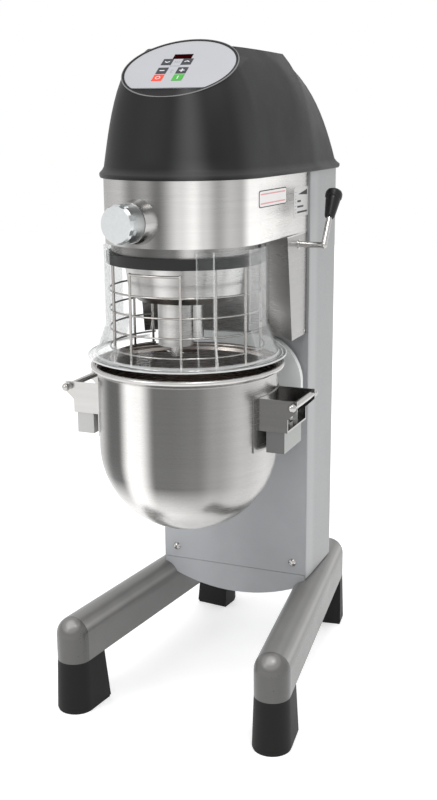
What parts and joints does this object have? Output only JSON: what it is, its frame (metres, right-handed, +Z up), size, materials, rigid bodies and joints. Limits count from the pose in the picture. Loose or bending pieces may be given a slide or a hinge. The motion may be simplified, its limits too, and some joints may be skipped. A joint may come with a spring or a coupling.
{
  "type": "floor-standing planetary mixer",
  "caption": "Planetary mixer on splayed legs: drum with offset tool spindle under a round head, wire and clear guard, accessory hub, and a bowl on a lever-raised fork",
  "frame": {"origin": "on the floor, under the middle of the bounding box", "axes": "+Z up, front of the machine towards -Y, machine's right side towards +X"},
  "size_m": [0.568, 0.8444, 1.4821],
  "materials": {
    "leg_paint": "satin grey-green paint",
    "leg_caps": "satin paint on cast caps",
    "foot_plastic": "matt black",
    "sole_rubber": "matt",
    "panel_paint": "satin grey paint",
    "column_paint": "satin light grey paint",
    "bright_steel": "bright",
    "gland_plastic": "matt black",
    "frame_steel": "dull primer",
    "stainless": "fine horizontal brushing",
    "cover_plastic": "satin charcoal",
    "membrane": "satin film",
    "display": "gloss dark red",
    "dark_key": "satin film",
    "red_key": "satin film",
    "green_key": "satin film",
    "motor_paint": "dull grey-blue",
    "ground_steel": "ground",
    "pulley_iron": "machined",
    "belt_rubber": "matt",
    "bearing_steel": "ground",
    "gear_steel": "oiled",
    "cast_aluminium": "fine satin",
    "cast_steel": "satin",
    "polished_steel": "polished",
    "ring_plastic": "satin black",
    "clear_plastic": "clear sheet",
    "bowl_steel": "satin, turned",
    "carriage_paint": "satin grey-green paint",
    "bush_bronze": "machined",
    "knob_plastic": "satin black"
  },
  "bodies": {
    "machine": {"left_leg": "leg_paint", "right_leg": "leg_paint", "leg_end_caps": "leg_caps", "feet": "foot_plastic", "foot_soles": "sole_rubber", "base_beam": "panel_paint", "column_cover": "column_paint", "front_panel": "panel_paint", "cover_screws": "bright_steel", "cable_gland": "gland_plastic", "inner_frame": "frame_steel", "head_frame": "frame_steel", "head_housing": "stainless", "top_cover": "cover_plastic", "control_membrane": "membrane", "display_window": "display", "control_box": "frame_steel", "motor": "motor_paint", "drive_belt": "belt_rubber", "fixed_bearings": "bearing_steel", "ring_gear": "gear_steel", "hub_housing": "cast_steel", "guard_band": "stainless", "guide_rods": "ground_steel", "gas_spring_cylinder": "gland_plastic", "lever_bush": "bush_bronze"},
    "planet": {"planet_drum": "cast_aluminium", "main_shaft": "ground_steel", "driven_pulley": "pulley_iron", "hub_crown_gear": "gear_steel", "tool_bearings": "bearing_steel"},
    "tool": {"tool_spindle": "ground_steel", "tool_pin": "ground_steel", "tool_pinion": "gear_steel"},
    "motor_rotor": {"motor_shaft": "ground_steel", "motor_pulley": "pulley_iron"},
    "hub_drive": {"hub_shaft": "ground_steel"},
    "hub_cover": {"hub_cap": "polished_steel"},
    "guard": {"guard_ring": "ring_plastic", "wire_guard": "bright_steel", "clear_screen": "clear_plastic"},
    "carriage": {"bowl_carriage": "carriage_paint", "carriage_bolts": "bright_steel", "fork_arms": "carriage_paint", "fork_pins": "ground_steel", "slide_block": "pulley_iron", "lift_rack": "gear_steel", "gas_spring_rod": "ground_steel"},
    "mixing_bowl": {"bowl": "bowl_steel", "bowl_brackets": "bowl_steel", "bowl_handles": "bright_steel"},
    "lever": {"lift_lever": "bright_steel", "lift_gear": "gear_steel", "lever_knob": "knob_plastic"},
    "key_speed_down": {"speed_down_key": "dark_key"},
    "key_speed_up": {"speed_up_key": "dark_key"},
    "key_time_down": {"time_down_key": "dark_key"},
    "key_time_up": {"time_up_key": "dark_key"},
    "key_stop": {"stop_key": "red_key"},
    "key_start": {"start_key": "green_key"}
  },
  "joints": [
    {"name": "planetary_spin", "type": "hinge", "parent": "machine", "child": "planet", "pos_m": [0, -0.18, 1], "axis": [0, 0, 1], "continuous": true},
    {"name": "tool_spin", "type": "hinge", "parent": "planet", "child": "tool", "pos_m": [0, -0.24, 0.95], "axis": [0, 0, 1], "continuous": true},
    {"name": "motor_spin", "type": "hinge", "parent": "machine", "child": "motor_rotor", "pos_m": [0, 0.18, 1.1], "axis": [0, 0, 1], "continuous": true},
    {"name": "hub_spin", "type": "hinge", "parent": "machine", "child": "hub_drive", "pos_m": [0, -0.18, 1.125], "axis": [-0.184, -0.9829, 0], "continuous": true},
    {"name": "hub_cap_off", "type": "slide", "parent": "machine", "child": "hub_cover", "axis": [-0.184, -0.9829, 0], "range_m": [0, 0.06]},
    {"name": "guard_turn", "type": "hinge", "parent": "machine", "child": "guard", "pos_m": [0, -0.18, 0.95], "axis": [0, 0, 1], "range_deg": [-120, 0]},
    {"name": "bowl_lift", "type": "slide", "parent": "machine", "child": "carriage", "axis": [0, 0, -1], "range_m": [0, 0.1247]},
    {"name": "bowl_slide_off", "type": "slide", "parent": "carriage", "child": "mixing_bowl", "axis": [0, -1, 0], "range_m": [0, 0.3]},
    {"name": "lift_lever", "type": "hinge", "parent": "machine", "child": "lever", "pos_m": [0.16, 0.026, 1.05], "axis": [1, 0, 0], "range_deg": [-110, 0]},
    {"name": "press_speed_down", "type": "slide", "parent": "machine", "child": "key_speed_down", "axis": [0, 0.5592, -0.829], "range_m": [0, 0.0008], "stiffness_N_per_m": 1500},
    {"name": "press_speed_up", "type": "slide", "parent": "machine", "child": "key_speed_up", "axis": [0, 0.5592, -0.829], "range_m": [0, 0.0008], "stiffness_N_per_m": 1500},
    {"name": "press_time_down", "type": "slide", "parent": "machine", "child": "key_time_down", "axis": [0, 0.5592, -0.829], "range_m": [0, 0.0008], "stiffness_N_per_m": 1500},
    {"name": "press_time_up", "type": "slide", "parent": "machine", "child": "key_time_up", "axis": [0, 0.5592, -0.829], "range_m": [0, 0.0008], "stiffness_N_per_m": 1500},
    {"name": "press_stop", "type": "slide", "parent": "machine", "child": "key_stop", "axis": [0, 0.5592, -0.829], "range_m": [0, 0.0008], "stiffness_N_per_m": 1500},
    {"name": "press_start", "type": "slide", "parent": "machine", "child": "key_start", "axis": [0, 0.5592, -0.829], "range_m": [0, 0.0008], "stiffness_N_per_m": 1500}
  ],
  "couplings": [
    {"joint": "tool_spin", "follows": "planetary_spin", "ratio": -3},
    {"joint": "motor_spin", "follows": "planetary_spin", "ratio": 5},
    {"joint": "hub_spin", "follows": "planetary_spin", "ratio": 3},
    {"joint": "lift_lever", "follows": "bowl_lift", "rad_per_m": -15.385}
  ]
}
